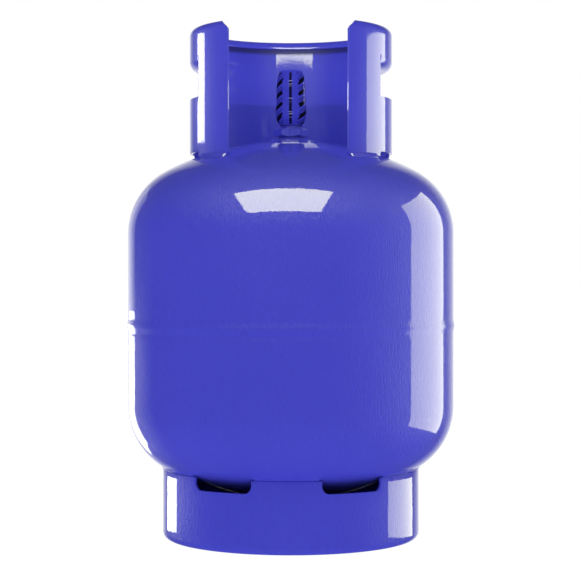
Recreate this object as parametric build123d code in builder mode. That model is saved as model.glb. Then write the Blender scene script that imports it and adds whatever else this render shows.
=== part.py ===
from build123d import *
from math import sqrt, sin, cos, radians
import os

os.makedirs("parts", exist_ok=True)

# A 9 kg steel LPG cylinder. Millimetres, +Z up, z = 0 under the foot ring,
# the cylinder axis on Z and the gap in the collar facing -Y.

# Pressure vessel: two deep-drawn heads with a torispherical end
SHELL_R = 157.5          # outside radius of the body
WALL = 2.6               # sheet thickness of both heads
KNUCKLE = 68.0           # outside knuckle radius
CROWN = 260.0            # outside crown radius
TOP_TANGENT = 294.0      # height where the upper knuckle begins
LOW_TANGENT = 128.0      # height where the lower knuckle begins
UPPER_EDGE = 207.5       # lower rim of the upper head
LOWER_EDGE = 201.5       # where the lower head starts its joggle
JOGGLE_TOP = 205.5
SPIGOT_TOP = 222.0       # rim of the joggled backing spigot
SPIGOT_R = 154.85
SEAM_BULGE = 1.2

# Valve boss
BOSS_R = 21.0
BOSS_FLANGE_R = 25.0
BOSS_LOW = 362.0
BOSS_TOP = 384.9
BOSS_BORE_GAP = 0.05

# Collar
COLLAR_R = 98.0
COLLAR_T = 2.8
COLLAR_LOW = 366.2
COLLAR_CURL = 7.2        # outside radius of the rolled rim
COLLAR_TOP = 491.4
GAP_HALF = 35.3          # half-angle of the gap in front
CORNER_Z = 482.0         # the gap's top corners are bevelled from here up
CORNER_LEAN = 0.57       # sideways run of a bevel for each millimetre up
HAND_HALF = 28.6         # half-angle of each hand hole
HAND_LOW = 422.8
GRIP_R = 9.5             # outside radius of the rolled grip
GRIP_Z = 459.8
GRIP_SWEEP = 140.0
SLIT_TOP = 462.0
SLIT_HALF = 0.9          # angle taken up by the slit at each end of a grip
DRAIN_FROM, DRAIN_TO = 61.0, 103.0
DRAIN_TOP = 370.7

# Foot ring
FOOT_R = 124.0
FOOT_T = 2.8
FOOT_TOP = 67.8
FOOT_CURL = 7.0
FOOT_FLAT = 3.0          # width of the flat that stands on the ground
SLOT_ANGLE = 29.4        # centre of each vent slot, from front and from back
SLOT_SPAN = 28.5
SLOT_LOW = 55.6
SLOT_CORNER = 7.0

# Valve body
THREAD_PITCH = 1.8
THREAD_DEPTH = 0.95
THREAD_RINGS = 14
THREAD_LOW = 360.6
THREAD_TOP = THREAD_LOW + THREAD_RINGS * THREAD_PITCH
THREAD_R0 = 12.4         # crest radius at THREAD_LOW
THREAD_TAPER = 1 / 32    # 1 in 16 on diameter
INLET_LOW = 355.0
HEX_AF = 30.0
HEX_LOW, HEX_TOP = 387.5, 395.6
SPIGOT_OUT_R = 10.0      # clip-on spigot, 20 mm across
NECK_R = 9.0
GROOVE_R = 9.1
MOUTH_Z = 430.0
LOW_BORE_R = 8.6
SEAT_LOW, SEAT_TOP = 382.0, 384.0
SEAT_BORE_R = 5.8
UP_BORE_R = 8.0
GASKET_LOW, GASKET_TOP = 423.0, 427.0
GASKET_R = 8.8

# Moving parts inside the valve
STEM_R = 2.4
STEM_TOP = 415.0
DISC_R = 7.0
DISC_LOW, DISC_TOP = 374.0, 377.7
NOSE_LOW = 380.0
NOSE_R = 5.0
PISTON_BORE_R = 3.6
SEAL_T = 1.0
FLANGE_TOP = 388.0
RELIEF_SPRING_TOP = 404.0
RETAINER_LOW, RETAINER_TOP = 356.5, 361.0

# Protective cap and shrink sleeve
FILM = 0.35
SLEEVE_LOW = 398.4
CAP_LOW = 398.9
CAP_RIM_TOP = 401.4
CAP_BORE_R = 10.15
CAP_OUTLINE = [          # outside radius of the cap by height
    (10.45, 398.9), (13.5, 405.0), (14.45, 413.0), (13.65, 422.6), (13.65, 433.0),
    (12.65, 444.0), (11.2, 449.5),
]


def crown_centre(tangent, up):
    """Height of the crown sphere's centre for a head whose knuckle starts at tangent."""
    drop = sqrt((CROWN - KNUCKLE) ** 2 - (SHELL_R - KNUCKLE) ** 2)
    return tangent - up * drop


def head_point(offset, tangent, up, r):
    """Height of the head's surface at radius r, for a surface offset inwards."""
    kc, cc = SHELL_R - KNUCKLE, crown_centre(tangent, up)
    if r > kc * (CROWN - offset) / (CROWN - KNUCKLE):
        return tangent + up * sqrt((KNUCKLE - offset) ** 2 - (r - kc) ** 2)
    return cc + up * sqrt((CROWN - offset) ** 2 - r * r)


def head_curve(offset, tangent, up, r_in):
    """Draw knuckle and crown arcs of one surface of a head, from the tangent to r_in."""
    kc, k, c = SHELL_R - KNUCKLE, KNUCKLE - offset, CROWN - offset
    join = kc * c / (CROWN - KNUCKLE)
    spots = [kc + k, kc + k * cos(radians(30)), join, (join + r_in) / 2, r_in]
    pts = [(r, head_point(offset, tangent, up, r)) for r in spots]
    pts[0] = (kc + k, tangent)
    ThreePointArc(pts[0], pts[1], pts[2])
    ThreePointArc(pts[2], pts[3], pts[4])
    return pts[4]


def polar(r, theta):
    """Point at radius r, theta degrees round from the front (-Y) towards +X."""
    return (r * sin(radians(theta)), -r * cos(radians(theta)))


def wedges(spans, low, high, r=200.0, steps=8):
    """Pie-shaped cutters, one for each pair of angles measured from the front."""
    with BuildPart() as cutter:
        with BuildSketch(Plane.XY.offset(low)):
            for start, stop in spans:
                rim = [polar(r, start + (stop - start) * i / steps) for i in range(steps + 1)]
                with BuildLine():
                    Polyline((0, 0), *rim, close=True)
                make_face()
        extrude(amount=high - low)
    return cutter.part


def turned(points):
    """Solid of revolution about Z from a closed (radius, height) outline."""
    with BuildPart() as body:
        with BuildSketch(Plane.XZ):
            with BuildLine():
                Polyline(*points, close=True)
            make_face()
        revolve(axis=Axis.Z)
    return body.part


def thread_points(gap):
    """Ring-groove outline of the taper thread from bottom to top, grown by gap."""
    pts = []
    for ring in range(THREAD_RINGS):
        z = THREAD_LOW + ring * THREAD_PITCH
        crest = THREAD_R0 + (z - THREAD_LOW) * THREAD_TAPER + gap
        root = crest - THREAD_DEPTH
        pts += [(crest, z), (crest, z + 0.4), (root, z + 0.85), (root, z + 1.3)]
    return pts


def grip(mid):
    """Rolled grip over a hand hole: the sheet curled in and down round a big radius."""
    centre = (COLLAR_R - GRIP_R, GRIP_Z)
    slim = GRIP_R - COLLAR_T
    turn = radians(GRIP_SWEEP)
    with BuildPart() as roll:
        with BuildSketch(Plane.XZ):
            with BuildLine():
                CenterArc(centre, GRIP_R, 0, -GRIP_SWEEP)
                CenterArc(centre, slim, 0, -GRIP_SWEEP)
                Line((COLLAR_R, GRIP_Z), (COLLAR_R - COLLAR_T, GRIP_Z))
                Line((centre[0] + GRIP_R * cos(turn), GRIP_Z - GRIP_R * sin(turn)),
                     (centre[0] + slim * cos(turn), GRIP_Z - slim * sin(turn)))
            make_face()
        revolve(axis=Axis.Z)
        reach = HAND_HALF - SLIT_HALF
        add(wedges([(mid - reach, mid + reach)], GRIP_Z - 15, GRIP_Z + 5), mode=Mode.INTERSECT)
    return roll.part


def gap_corners():
    """Cutter that bevels both top corners of the collar's gap, square to the front."""
    side = COLLAR_R * sin(radians(GAP_HALF))
    top = COLLAR_TOP + 5
    wide = side + CORNER_LEAN * (top - CORNER_Z)
    with BuildPart() as cutter:
        with BuildSketch(Plane.XZ):
            with BuildLine():
                Polyline((side, CORNER_Z), (wide, top), (-wide, top), (-side, CORNER_Z), close=True)
            make_face()
        extrude(amount=COLLAR_R + 12)
    return cutter.part


def coil(mean_r, wire_r, low, high, turns):
    """Round-wire compression spring standing between two heights."""
    span = high - low - 2 * wire_r
    with BuildPart() as spring:
        with BuildLine():
            path = Helix(pitch=span / turns, height=span, radius=mean_r, center=(0, 0, low + wire_r))
        with BuildSketch(Plane(origin=path @ 0, z_dir=path % 0)):
            Circle(wire_r)
        sweep()
    return spring.part


# Upper head: straight skirt, knuckle and crown, pierced for the boss
with BuildPart() as upper_shell:
    with BuildSketch(Plane.XZ):
        with BuildLine():
            hole_r = BOSS_R + 0.05
            out_end = head_curve(0, TOP_TANGENT, 1, hole_r)
            in_end = head_curve(WALL, TOP_TANGENT, 1, hole_r)
            Line(out_end, in_end)
            Polyline((SHELL_R, TOP_TANGENT), (SHELL_R, UPPER_EDGE),
                     (SHELL_R - WALL, UPPER_EDGE), (SHELL_R - WALL, TOP_TANGENT))
        make_face()
    revolve(axis=Axis.Z)

# Lower head: same ends, with its rim joggled in to back the girth weld
with BuildPart() as lower_shell:
    with BuildSketch(Plane.XZ):
        with BuildLine():
            out_end = head_curve(0, LOW_TANGENT, -1, 0)
            in_end = head_curve(WALL, LOW_TANGENT, -1, 0)
            Line(out_end, in_end)
            Polyline((SHELL_R, LOW_TANGENT), (SHELL_R, LOWER_EDGE), (SPIGOT_R, JOGGLE_TOP),
                     (SPIGOT_R, SPIGOT_TOP), (SPIGOT_R - 2.55, SPIGOT_TOP),
                     (SPIGOT_R - 2.55, JOGGLE_TOP - 2.5), (SHELL_R - WALL, LOWER_EDGE - 2.5),
                     (SHELL_R - WALL, LOW_TANGENT))
        make_face()
    revolve(axis=Axis.Z)

# Girth weld: fills the groove over the joggle and stands proud as a low bead
with BuildPart() as girth_weld:
    with BuildSketch(Plane.XZ):
        with BuildLine():
            Polyline((SHELL_R, LOWER_EDGE - 1.0), (SHELL_R, LOWER_EDGE), (SPIGOT_R, JOGGLE_TOP),
                     (SPIGOT_R, UPPER_EDGE), (SHELL_R, UPPER_EDGE), (SHELL_R, UPPER_EDGE + 4.3),
                     (SHELL_R + 0.55, UPPER_EDGE + 4.1))
            Spline((SHELL_R + 0.55, UPPER_EDGE + 4.1), (SHELL_R + SEAM_BULGE, UPPER_EDGE + 1.6),
                   (SHELL_R + 0.95, UPPER_EDGE - 3.2), (SHELL_R, LOWER_EDGE - 1.0))
        make_face()
    revolve(axis=Axis.Z)

# Filled heads, used to trim the pieces that sit on the vessel
with BuildPart() as upper_fill:
    with BuildSketch(Plane.XZ):
        with BuildLine():
            tip = head_curve(0, TOP_TANGENT, 1, 0)
            Polyline(tip, (0, TOP_TANGENT), (SHELL_R, TOP_TANGENT))
        make_face()
    revolve(axis=Axis.Z)

with BuildPart() as lower_fill:
    with BuildSketch(Plane.XZ):
        with BuildLine():
            tip = head_curve(0, LOW_TANGENT, -1, 0)
            Polyline(tip, (0, LOW_TANGENT), (SHELL_R, LOW_TANGENT))
        make_face()
    revolve(axis=Axis.Z)

# Boss: turned ring with an inner flange, tapped with the taper thread
with BuildPart() as valve_boss:
    add(turned([
        (10.0, BOSS_LOW), (BOSS_FLANGE_R - 3, BOSS_LOW), (BOSS_FLANGE_R, BOSS_LOW + 3),
        (BOSS_FLANGE_R, 380.2), (BOSS_R, 380.5), (BOSS_R, BOSS_TOP - 0.8),
        (BOSS_R - 0.8, BOSS_TOP), (10.0, BOSS_TOP),
    ]))
    mouth = THREAD_R0 + (BOSS_TOP - THREAD_LOW) * THREAD_TAPER + BOSS_BORE_GAP
    add(turned([(0, THREAD_LOW - 2), (THREAD_R0, THREAD_LOW - 2)] + thread_points(BOSS_BORE_GAP)
               + [(THREAD_R0, THREAD_TOP + 2), (0, THREAD_TOP + 2)]), mode=Mode.SUBTRACT)
    add(turned([(0, BOSS_TOP - 1.0), (mouth - 0.4, BOSS_TOP - 1.0), (mouth + 0.8, BOSS_TOP),
                (mouth + 0.8, BOSS_TOP + 1), (0, BOSS_TOP + 1)]), mode=Mode.SUBTRACT)

# Boss weld: a fillet all round the boss, lying on the crown
with BuildPart() as boss_weld:
    with BuildSketch(Plane.XZ):
        with BuildLine():
            Polyline((BOSS_R + 5.2, 382.0), (BOSS_R, 382.0), (BOSS_R, BOSS_TOP - 0.8),
                     (BOSS_R + 0.8, BOSS_TOP + 0.1))
            Spline((BOSS_R + 0.8, BOSS_TOP + 0.1), (BOSS_R + 3.2, BOSS_TOP - 0.5),
                   (BOSS_R + 5.2, 382.0))
        make_face()
    revolve(axis=Axis.Z)
    add(upper_fill.part, mode=Mode.SUBTRACT)

# Collar: rolled sheet with an inward-curled rim, two hand holes with rolled
# grips, a gap in front and drain notches along the foot
with BuildPart() as collar:
    with BuildSketch(Plane.XZ):
        curl_c = (COLLAR_R - COLLAR_CURL, COLLAR_TOP - COLLAR_CURL)
        inner = COLLAR_CURL - COLLAR_T
        with BuildLine():
            CenterArc(curl_c, COLLAR_CURL, 0, 180)
            CenterArc(curl_c, inner, 0, 180)
            Line((curl_c[0] - COLLAR_CURL, curl_c[1]), (curl_c[0] - inner, curl_c[1]))
            Polyline((COLLAR_R, curl_c[1]), (COLLAR_R, COLLAR_LOW),
                     (COLLAR_R - COLLAR_T, COLLAR_LOW), (COLLAR_R - COLLAR_T, curl_c[1]))
        make_face()
    revolve(axis=Axis.Z)
    add(wedges([(-GAP_HALF, GAP_HALF)], COLLAR_LOW - 5, COLLAR_TOP + 5), mode=Mode.SUBTRACT)
    add(gap_corners(), mode=Mode.SUBTRACT)
    add(wedges([(mid - HAND_HALF, mid + HAND_HALF) for mid in (-90, 90)], HAND_LOW, GRIP_Z),
        mode=Mode.SUBTRACT)
    add(wedges([(DRAIN_FROM, DRAIN_TO), (-DRAIN_TO, -DRAIN_FROM)], COLLAR_LOW - 5, DRAIN_TOP),
        mode=Mode.SUBTRACT)
    soft = collar.edges().filter_by(GeomType.LINE).filter_by(
        lambda e: e.length < 3 and min(abs(e.center().Z - HAND_LOW),
                                       abs(e.center().Z - DRAIN_TOP)) < 0.01)
    fillet(soft, radius=3.2)
    slits = []
    for mid in (-90, 90):
        add(grip(mid))
        slits += [(mid - HAND_HALF, mid - HAND_HALF + SLIT_HALF),
                  (mid + HAND_HALF - SLIT_HALF, mid + HAND_HALF)]
    add(wedges(slits, GRIP_Z - 1, SLIT_TOP), mode=Mode.SUBTRACT)

# Collar stitch welds: short fillets outside the lower edge, on the crown
with BuildPart() as collar_welds:
    with BuildSketch(Plane.XZ):
        with BuildLine():
            Polyline((COLLAR_R + 4.6, 360.0), (COLLAR_R - COLLAR_T, 360.0),
                     (COLLAR_R - COLLAR_T, COLLAR_LOW), (COLLAR_R, COLLAR_LOW),
                     (COLLAR_R, COLLAR_LOW + 3.6))
            Spline((COLLAR_R, COLLAR_LOW + 3.6), (COLLAR_R + 2.9, COLLAR_LOW + 1.4),
                   (COLLAR_R + 4.6, 360.0))
        make_face()
    revolve(axis=Axis.Z)
    add(upper_fill.part, mode=Mode.SUBTRACT)
    add(wedges([(36, 58), (108, 138), (165, 195), (-138, -108), (-58, -36)], 355, 375),
        mode=Mode.INTERSECT)

# Foot ring: rolled hoop, its lower edge curled in, four vent slots cut from
# the top edge
with BuildPart() as foot_ring:
    with BuildSketch(Plane.XZ):
        slim = FOOT_CURL - FOOT_T
        out_c = (FOOT_R - FOOT_CURL, FOOT_CURL)
        in_c = (FOOT_R - FOOT_CURL - FOOT_FLAT, FOOT_CURL)
        with BuildLine():
            CenterArc(out_c, FOOT_CURL, -90, 90)
            CenterArc(out_c, slim, -90, 90)
            CenterArc(in_c, FOOT_CURL, 180, 90)
            CenterArc(in_c, slim, 180, 90)
            Line((in_c[0], 0), (out_c[0], 0))
            Line((in_c[0], FOOT_T), (out_c[0], FOOT_T))
            Line((in_c[0] - FOOT_CURL, FOOT_CURL), (in_c[0] - slim, FOOT_CURL))
            Polyline((FOOT_R, FOOT_CURL), (FOOT_R, FOOT_TOP), (FOOT_R - FOOT_T, FOOT_TOP),
                     (FOOT_R - FOOT_T, FOOT_CURL))
        make_face()
    revolve(axis=Axis.Z)
    slot_centres = (SLOT_ANGLE, -SLOT_ANGLE, 180 - SLOT_ANGLE, 180 + SLOT_ANGLE)
    add(wedges([(c - SLOT_SPAN / 2, c + SLOT_SPAN / 2) for c in slot_centres],
               SLOT_LOW, FOOT_TOP + 10), mode=Mode.SUBTRACT)
    corners = foot_ring.edges().filter_by(GeomType.LINE).filter_by(
        lambda e: e.length < 3 and abs(e.center().Z - SLOT_LOW) < 0.01)
    fillet(corners, radius=SLOT_CORNER)

# Foot ring welds: one run on each land between two slots, laid in the notch
# over the hoop's top edge and flush with its outside
with BuildPart() as foot_ring_welds:
    with BuildSketch(Plane.XZ):
        with BuildLine():
            Polyline((FOOT_R + 3.2, 73.0), (FOOT_R - FOOT_T, 73.0), (FOOT_R - FOOT_T, FOOT_TOP),
                     (FOOT_R, FOOT_TOP))
            Spline((FOOT_R, FOOT_TOP), (FOOT_R + 2.0, FOOT_TOP + 1.1), (FOOT_R + 3.2, 73.0))
        make_face()
    revolve(axis=Axis.Z)
    add(lower_fill.part, mode=Mode.SUBTRACT)
    near = SLOT_ANGLE - SLOT_SPAN / 2 - 0.8
    far = SLOT_ANGLE + SLOT_SPAN / 2 + 0.8
    add(wedges([(-near, near), (far, 180 - far), (180 - near, 180 + near),
                (180 + far, 360 - far)], 60, 80), mode=Mode.INTERSECT)

# Valve body: taper thread, spanner hex and 20 mm clip-on spigot, bored through
with BuildPart() as valve_body:
    with BuildSketch(Plane.XY.offset(HEX_LOW)):
        RegularPolygon(radius=HEX_AF / 2, side_count=6, major_radius=False)
    extrude(amount=HEX_TOP - HEX_LOW)
    add(turned([(0, HEX_LOW), (14.4, HEX_LOW), (18.2, HEX_LOW + 2.2), (18.2, HEX_TOP - 2.2),
                (14.4, HEX_TOP), (0, HEX_TOP)]), mode=Mode.INTERSECT)
    add(turned([(0, INLET_LOW), (10.6, INLET_LOW), (11.3, INLET_LOW + 1.2), (11.3, THREAD_LOW)]
               + thread_points(0)
               + [(12.2, THREAD_TOP), (12.2, HEX_LOW + 0.5), (0, HEX_LOW + 0.5)]))
    add(turned([(0, HEX_TOP - 1), (NECK_R, HEX_TOP - 1), (NECK_R, 399.0),
                (SPIGOT_OUT_R, 400.0), (SPIGOT_OUT_R, 408.0), (GROOVE_R, 409.0),
                (GROOVE_R, 412.5), (SPIGOT_OUT_R, 413.5), (SPIGOT_OUT_R, MOUTH_Z - 0.8),
                (SPIGOT_OUT_R - 0.8, MOUTH_Z), (0, MOUTH_Z)]))
    add(turned([(0, INLET_LOW - 1), (LOW_BORE_R, INLET_LOW - 1), (LOW_BORE_R, SEAT_LOW),
                (SEAT_BORE_R, SEAT_LOW), (SEAT_BORE_R, SEAT_TOP), (UP_BORE_R, SEAT_TOP),
                (UP_BORE_R, GASKET_LOW), (GASKET_R, GASKET_LOW), (GASKET_R, GASKET_TOP),
                (UP_BORE_R, GASKET_TOP), (UP_BORE_R, MOUTH_Z - 0.6),
                (UP_BORE_R + 0.6, MOUTH_Z), (UP_BORE_R + 0.6, MOUTH_Z + 1), (0, MOUTH_Z + 1)]),
        mode=Mode.SUBTRACT)

# Outlet gasket: moulded ring lying in the groove near the mouth
with BuildPart() as outlet_gasket:
    add(turned([(6.6, GASKET_LOW + 1.6), (7.2, GASKET_LOW), (GASKET_R, GASKET_LOW),
                (GASKET_R, GASKET_TOP), (7.2, GASKET_TOP), (6.6, GASKET_TOP - 1.6)]))

# Poppet: guide pin below, disc, and the long stem pushed by a regulator
with BuildPart() as poppet:
    add(turned([(0, 357.5), (STEM_R - 0.5, 357.5), (STEM_R, 358.5), (STEM_R, DISC_LOW),
                (DISC_R, DISC_LOW), (DISC_R, DISC_TOP), (STEM_R, DISC_TOP),
                (STEM_R, STEM_TOP - 1), (STEM_R - 1, STEM_TOP), (0, STEM_TOP)]))

# Poppet pad: rubber washer that shuts against the nose of the relief piston
with BuildPart() as poppet_pad:
    add(turned([(STEM_R, DISC_TOP), (DISC_R - 0.4, DISC_TOP), (DISC_R - 0.4, NOSE_LOW),
                (STEM_R, NOSE_LOW)]))

# Poppet spring: between the retainer and the disc
poppet_spring = coil(6.0, 0.65, RETAINER_TOP, DISC_LOW, 4.5)

# Spring retainer: screwed ring with six gas ports and a guide hole
with BuildPart() as spring_retainer:
    add(turned([(STEM_R + 0.25, RETAINER_LOW), (LOW_BORE_R - 0.6, RETAINER_LOW),
                (LOW_BORE_R, RETAINER_LOW + 0.6), (LOW_BORE_R, RETAINER_TOP),
                (STEM_R + 0.25, RETAINER_TOP)]))
    with BuildSketch(Plane.XY.offset(RETAINER_LOW)):
        with PolarLocations(4.7, 6):
            Circle(1.15)
    extrude(amount=RETAINER_TOP - RETAINER_LOW, mode=Mode.SUBTRACT)

# Relief piston: hollow nose that the poppet shuts on, flange and spring guide
with BuildPart() as relief_piston:
    flange_low = SEAT_TOP + SEAL_T
    add(turned([(PISTON_BORE_R, NOSE_LOW), (NOSE_R - 0.3, NOSE_LOW), (NOSE_R, NOSE_LOW + 0.3),
                (NOSE_R, flange_low), (7.6, flange_low), (7.6, FLANGE_TOP), (4.9, FLANGE_TOP),
                (4.9, 395.0), (PISTON_BORE_R, 395.0)]))

# Relief seal: flat ring under the piston flange, resting on the shoulder
with BuildPart() as relief_seal:
    add(turned([(NOSE_R, SEAT_TOP), (7.5, SEAT_TOP), (7.5, SEAT_TOP + SEAL_T),
                (NOSE_R, SEAT_TOP + SEAL_T)]))

# Relief spring: holds the piston down against the vessel pressure
relief_spring = coil(6.5, 1.0, FLANGE_TOP, RELIEF_SPRING_TOP, 4.5)

# Relief nut: slotted ring screwed into the spigot, setting the spring load
with BuildPart() as relief_nut:
    add(turned([(4.2, RELIEF_SPRING_TOP), (UP_BORE_R, RELIEF_SPRING_TOP),
                (UP_BORE_R, 407.4), (UP_BORE_R - 0.6, 408.0), (4.2, 408.0)]))
    with BuildSketch(Plane.XY.offset(406.2)):
        Rectangle(18, 1.8)
    extrude(amount=3, mode=Mode.SUBTRACT)

# Protective cap: moulded hood, dropped over the spigot, standing on the mouth
with BuildPart() as protective_cap:
    with BuildSketch(Plane.XZ):
        with BuildLine():
            Spline(*CAP_OUTLINE)
            Spline(CAP_OUTLINE[-1], (10.2, 451.7), (8.4, 452.4))
            Polyline((8.4, 452.4), (0, 452.4), (0, CAP_LOW), CAP_OUTLINE[0])
        make_face()
    revolve(axis=Axis.Z)
    add(turned([(0, CAP_LOW - 1), (CAP_BORE_R, CAP_LOW - 1), (CAP_BORE_R, CAP_RIM_TOP),
                (12.4, 405.5), (12.4, MOUTH_Z), (9.0, MOUTH_Z), (9.0, 444.5), (7.6, 450.6),
                (0, 450.6)]), mode=Mode.SUBTRACT)

# Seal sleeve: film shrunk over the cap, tucked in under its lower rim and
# folded over the top edge
with BuildPart() as seal_sleeve:
    with BuildSketch(Plane.XZ):
        with BuildLine():
            inside = [(CAP_BORE_R + 0.05, SLEEVE_LOW)] + CAP_OUTLINE
            outside = [(r + FILM, z) for r, z in CAP_OUTLINE]
            Polyline(inside[0], inside[1])
            Spline(*CAP_OUTLINE)
            Spline(CAP_OUTLINE[-1], (10.2, 451.7), (8.4, 452.4))
            Polyline((8.4, 452.4), (6.4, 452.4), (6.4, 452.4 + FILM), (8.4, 452.4 + FILM))
            Spline((8.4, 452.4 + FILM), (10.35, 452.05), (outside[-1][0], outside[-1][1] + 0.1))
            Spline((outside[-1][0], outside[-1][1] + 0.1), *reversed(outside[:-1]))
            Polyline(outside[0], (CAP_BORE_R + 0.05 + FILM, SLEEVE_LOW), inside[0])
        make_face()
    revolve(axis=Axis.Z)

# Finished pieces
upper_shell.part.label = "upper_shell"
lower_shell.part.label = "lower_shell"
girth_weld.part.label = "girth_weld"
valve_boss.part.label = "valve_boss"
boss_weld.part.label = "boss_weld"
collar.part.label = "collar"
collar_welds.part.label = "collar_welds"
foot_ring.part.label = "foot_ring"
foot_ring_welds.part.label = "foot_ring_welds"
valve_body.part.label = "valve_body"
outlet_gasket.part.label = "outlet_gasket"
poppet.part.label = "poppet"
poppet_pad.part.label = "poppet_pad"
poppet_spring.label = "poppet_spring"
spring_retainer.part.label = "spring_retainer"
relief_piston.part.label = "relief_piston"
relief_seal.part.label = "relief_seal"
relief_spring.label = "relief_spring"
relief_nut.part.label = "relief_nut"
protective_cap.part.label = "protective_cap"
seal_sleeve.part.label = "seal_sleeve"

export_step(upper_shell.part, "parts/upper_shell.step")
export_step(lower_shell.part, "parts/lower_shell.step")
export_step(girth_weld.part, "parts/girth_weld.step")
export_step(valve_boss.part, "parts/valve_boss.step")
export_step(boss_weld.part, "parts/boss_weld.step")
export_step(collar.part, "parts/collar.step")
export_step(collar_welds.part, "parts/collar_welds.step")
export_step(foot_ring.part, "parts/foot_ring.step")
export_step(foot_ring_welds.part, "parts/foot_ring_welds.step")
export_step(valve_body.part, "parts/valve_body.step")
export_step(outlet_gasket.part, "parts/outlet_gasket.step")
export_step(poppet.part, "parts/poppet.step")
export_step(poppet_pad.part, "parts/poppet_pad.step")
export_step(poppet_spring, "parts/poppet_spring.step")
export_step(spring_retainer.part, "parts/spring_retainer.step")
export_step(relief_piston.part, "parts/relief_piston.step")
export_step(relief_seal.part, "parts/relief_seal.step")
export_step(relief_spring, "parts/relief_spring.step")
export_step(relief_nut.part, "parts/relief_nut.step")
export_step(protective_cap.part, "parts/protective_cap.step")
export_step(seal_sleeve.part, "parts/seal_sleeve.step")
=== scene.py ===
import math
import random

import bmesh
import bpy
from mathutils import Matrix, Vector, noise

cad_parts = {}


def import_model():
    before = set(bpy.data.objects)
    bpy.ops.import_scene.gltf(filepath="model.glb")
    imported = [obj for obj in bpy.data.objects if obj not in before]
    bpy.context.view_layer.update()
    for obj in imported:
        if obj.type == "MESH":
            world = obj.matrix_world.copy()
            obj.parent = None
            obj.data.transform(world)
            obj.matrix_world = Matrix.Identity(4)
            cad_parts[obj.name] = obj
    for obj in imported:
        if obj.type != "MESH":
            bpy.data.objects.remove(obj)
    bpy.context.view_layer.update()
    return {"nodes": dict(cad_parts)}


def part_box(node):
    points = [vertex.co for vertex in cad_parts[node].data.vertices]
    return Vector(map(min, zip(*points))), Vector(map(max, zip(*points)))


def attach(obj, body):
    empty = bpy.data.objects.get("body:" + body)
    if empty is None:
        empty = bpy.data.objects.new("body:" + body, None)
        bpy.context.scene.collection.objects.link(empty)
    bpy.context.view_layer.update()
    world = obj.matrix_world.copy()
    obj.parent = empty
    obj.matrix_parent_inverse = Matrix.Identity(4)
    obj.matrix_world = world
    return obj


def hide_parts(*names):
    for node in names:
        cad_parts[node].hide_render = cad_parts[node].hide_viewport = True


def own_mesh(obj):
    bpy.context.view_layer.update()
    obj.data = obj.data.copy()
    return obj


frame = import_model()
NODES = frame["nodes"]
MM = 0.001

# ---------------------------------------------------------------- dimensions
# Millimetres. What the CAD boxes give is read from them; the rest are the
# sheet sizes and radii of the same parts.

def node_box(name):
    lo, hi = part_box(name)
    return [v / MM for v in lo], [v / MM for v in hi]


COLLAR_LO, COLLAR_HI = node_box("collar")
FOOT_HI = node_box("foot_ring")[1]

SHELL_R = 157.5
SHELL_WALL = 2.6
KNUCKLE, CROWN = 68.0, 260.0
TOP_TANGENT, LOW_TANGENT = 294.0, 128.0
UPPER_EDGE, LOWER_EDGE = 207.5, 201.5
LIP_OUT, LIP_IN = 154.85, 152.3          # faces of the lower head's lip, inside the upper head
LIP_FOOT, LIP_START, LIP_TOP = 203.0, 205.5, 222.0
BOSS_R = 21.0

COLLAR_R, COLLAR_T = COLLAR_HI[0], 2.8
COLLAR_LOW, COLLAR_TOP = COLLAR_LO[2], COLLAR_HI[2]
COLLAR_CURL = 7.2
GAP_HALF, CORNER_Z, CORNER_LEAN = 35.3, 482.0, 0.57
HAND_HALF, HAND_LOW = 28.6, 422.8
HOLE_CORNER = 3.2
GRIP_R, GRIP_Z, GRIP_SWEEP = 9.5, 459.8, 140.0
SLIT_HALF, SLIT_TOP = 0.9, 462.0
DRAIN_FROM, DRAIN_TO, DRAIN_TOP = 61.0, 103.0, 370.7

FOOT_R, FOOT_T = FOOT_HI[0], 2.8
FOOT_TOP, FOOT_CURL, FOOT_FLAT = FOOT_HI[2], 7.0, 3.0
SLOT_ANGLE, SLOT_SPAN, SLOT_LOW, SLOT_CORNER = 29.4, 28.5, 55.6, 7.0


# ------------------------------------------------------------ node materials
def material(name):
    mat = bpy.data.materials.new(name)
    mat.use_nodes = True
    nodes = mat.node_tree.nodes
    return mat, nodes, mat.node_tree.links, nodes["Principled BSDF"]


def add_node(nodes, kind, **settings):
    node = nodes.new(kind)
    for key, value in settings.items():
        if key in node.inputs:
            node.inputs[key].default_value = value
        else:
            setattr(node, key, value)
    return node


def coords(nodes):
    return nodes.new("ShaderNodeTexCoord").outputs["Object"]


def noise_tex(nodes, links, source, scale, detail=2.0, roughness=0.5, stretch=None):
    """Noise over object space, scale in features per metre, optionally stretched."""
    if stretch is not None:
        mapping = add_node(nodes, "ShaderNodeMapping")
        mapping.inputs["Scale"].default_value = stretch
        links.new(source, mapping.inputs["Vector"])
        source = mapping.outputs["Vector"]
    tex = nodes.new("ShaderNodeTexNoise")
    tex.inputs["Scale"].default_value = scale
    tex.inputs["Detail"].default_value = detail
    tex.inputs["Roughness"].default_value = roughness
    links.new(source, tex.inputs["Vector"])
    return tex.outputs["Fac"]


def remap(nodes, links, source, low, high, to_low, to_high):
    node = nodes.new("ShaderNodeMapRange")
    for key, value in (("From Min", low), ("From Max", high), ("To Min", to_low), ("To Max", to_high)):
        node.inputs[key].default_value = value
    links.new(source, node.inputs["Value"])
    return node.outputs["Result"]


def ramp(nodes, links, source, stops):
    node = nodes.new("ShaderNodeValToRGB")
    el = node.color_ramp.elements
    el[0].position, el[0].color = stops[0][0], (*stops[0][1], 1)
    el[1].position, el[1].color = stops[1][0], (*stops[1][1], 1)
    for pos, col in stops[2:]:
        el.new(pos).color = (*col, 1)
    links.new(source, node.inputs["Fac"])
    return node.outputs["Color"]


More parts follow.
